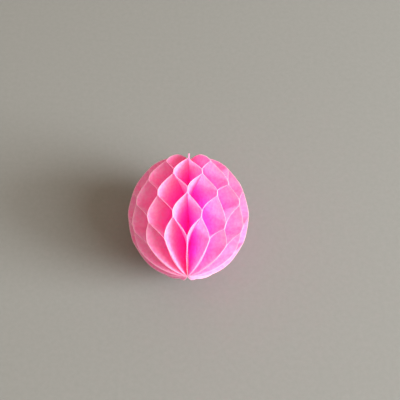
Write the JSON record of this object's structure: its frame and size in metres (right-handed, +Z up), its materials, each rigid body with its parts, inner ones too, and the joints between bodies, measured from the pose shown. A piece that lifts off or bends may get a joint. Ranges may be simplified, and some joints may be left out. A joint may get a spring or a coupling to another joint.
{
  "type": "honeycomb paper ball",
  "caption": "Honeycomb paper ball: half-oval paper leaves bound on a spine, pasted together in staggered lines and fanned right round into open diamond cells. A light party decoration.",
  "frame": {"origin": "on the surface that the ball lies on, under the middle of its spine", "axes": "+Z up, +Y along the spine to the pole that faces away from the viewer, +X to the viewer's right"},
  "size_m": [0.05, 0.0536, 0.0497],
  "materials": {
    "leaf_paper": "matt thin pink paper that lets light through",
    "binding_paste": "pink paper edge stiffened with dried paste"
  },
  "bodies": {
    "root": {"spine_binding": "binding_paste", "leaf_01": "leaf_paper", "leaf_02": "leaf_paper", "leaf_03": "leaf_paper", "leaf_04": "leaf_paper", "leaf_05": "leaf_paper", "leaf_06": "leaf_paper", "leaf_07": "leaf_paper", "leaf_08": "leaf_paper", "leaf_09": "leaf_paper", "leaf_10": "leaf_paper", "leaf_11": "leaf_paper", "leaf_12": "leaf_paper", "leaf_13": "leaf_paper", "leaf_14": "leaf_paper", "leaf_15": "leaf_paper", "leaf_16": "leaf_paper", "leaf_17": "leaf_paper", "leaf_18": "leaf_paper", "leaf_19": "leaf_paper", "leaf_20": "leaf_paper", "leaf_21": "leaf_paper", "leaf_22": "leaf_paper", "leaf_23": "leaf_paper", "leaf_24": "leaf_paper", "leaf_25": "leaf_paper", "leaf_26": "leaf_paper"}
  },
  "joints": []
}
